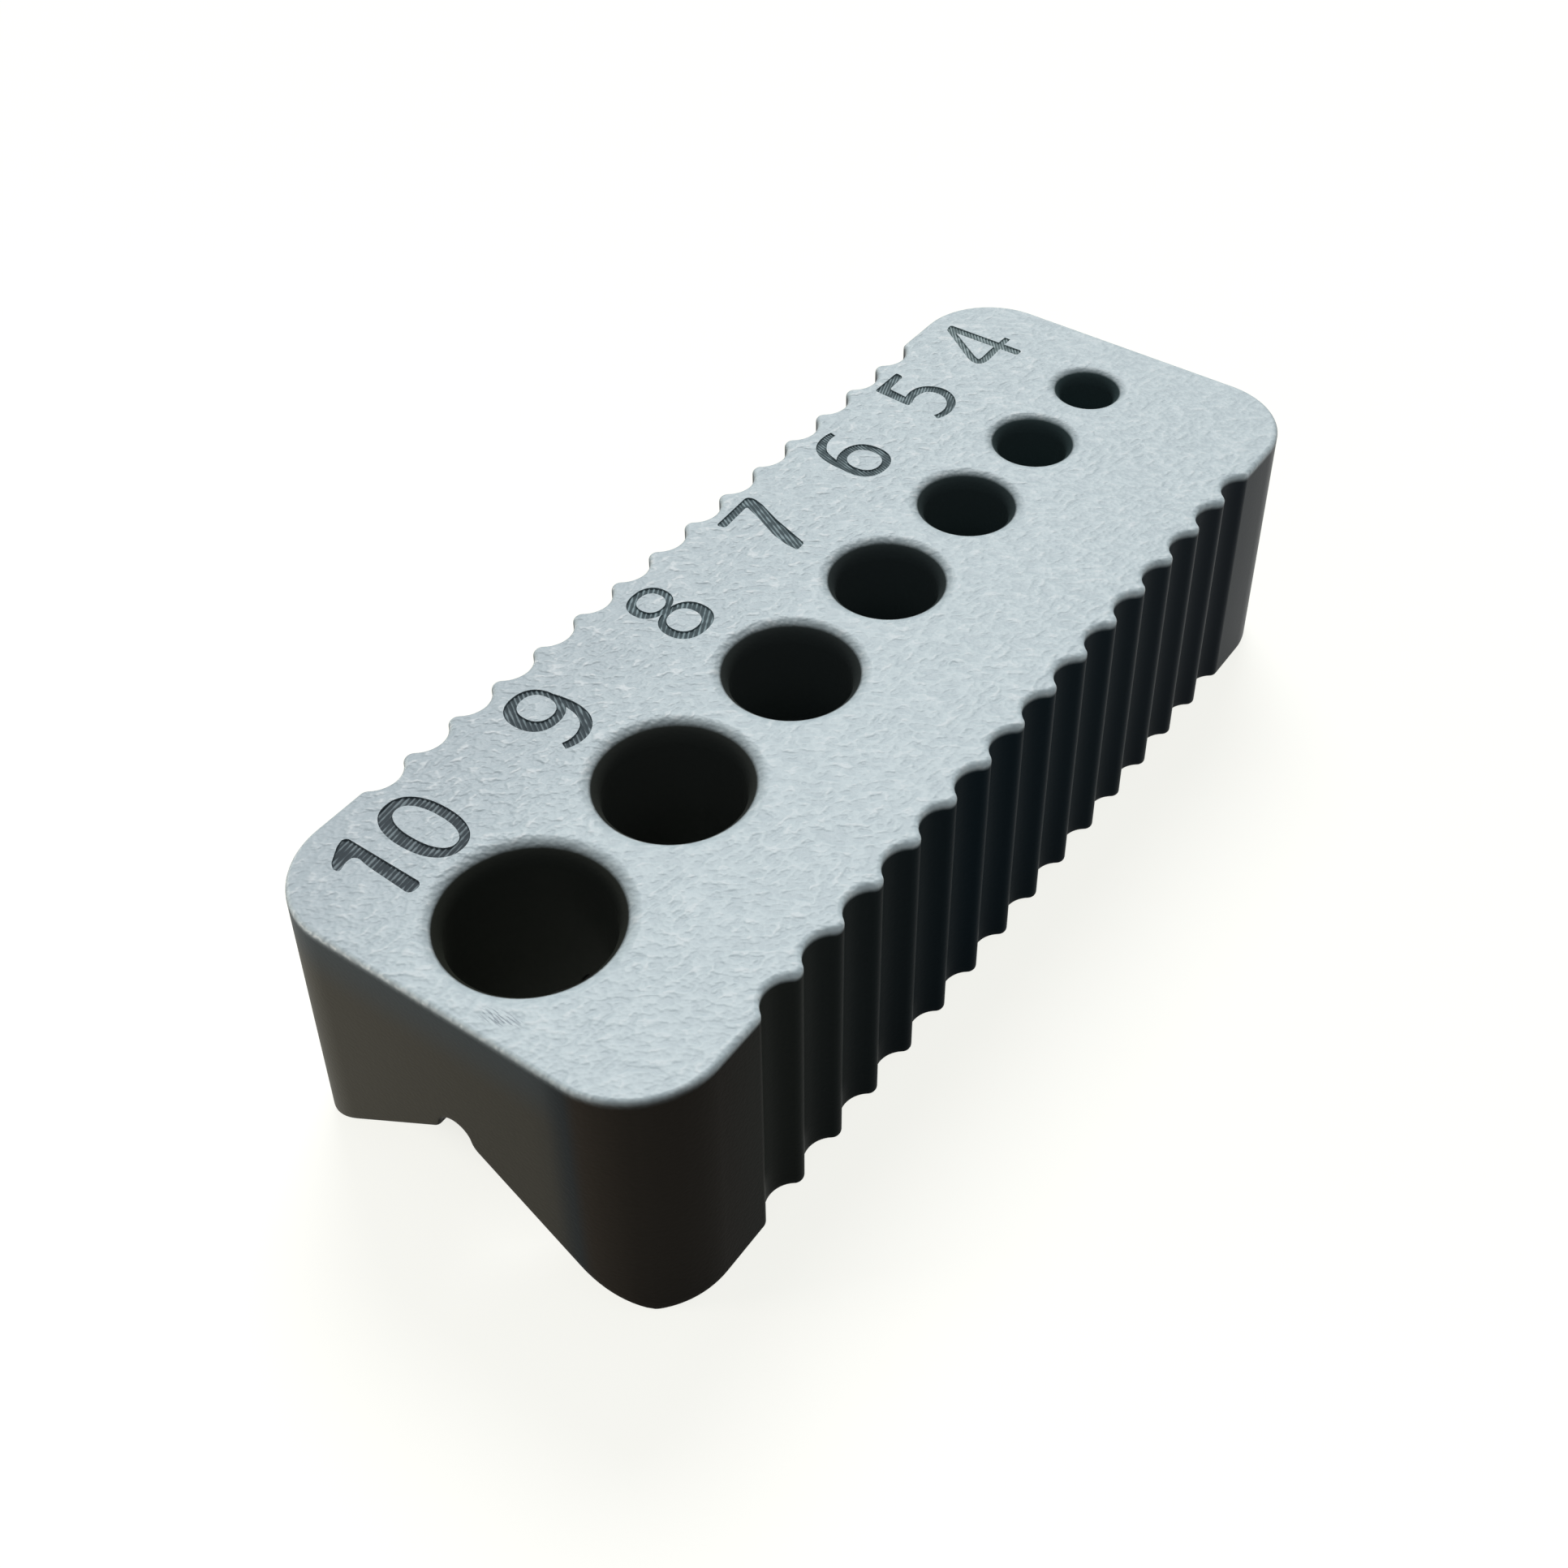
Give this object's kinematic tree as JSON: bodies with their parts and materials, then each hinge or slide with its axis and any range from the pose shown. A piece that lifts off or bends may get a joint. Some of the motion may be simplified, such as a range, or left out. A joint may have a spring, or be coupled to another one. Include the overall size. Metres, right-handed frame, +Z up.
{
  "type": "drill guide block",
  "caption": "Drill guide block: a row of graded bores square to a numbered top, a V groove under it for round stock, and fluted grip sides.",
  "frame": {"origin": "middle of the block, on the plane that its feet stand on", "axes": "+X along the block, from the widest bore to the narrowest; +Z up, out of the numbered top; +Y to the side that the tops of the numbers point to"},
  "size_m": [0.08, 0.03, 0.02],
  "materials": {
    "dark_metal": "near-black satin, fine cast grain",
    "light_top": "light blue-grey, blasted, fine leathery grain"
  },
  "bodies": {
    "root": {"guide_block": "dark_metal"}
  },
  "joints": []
}
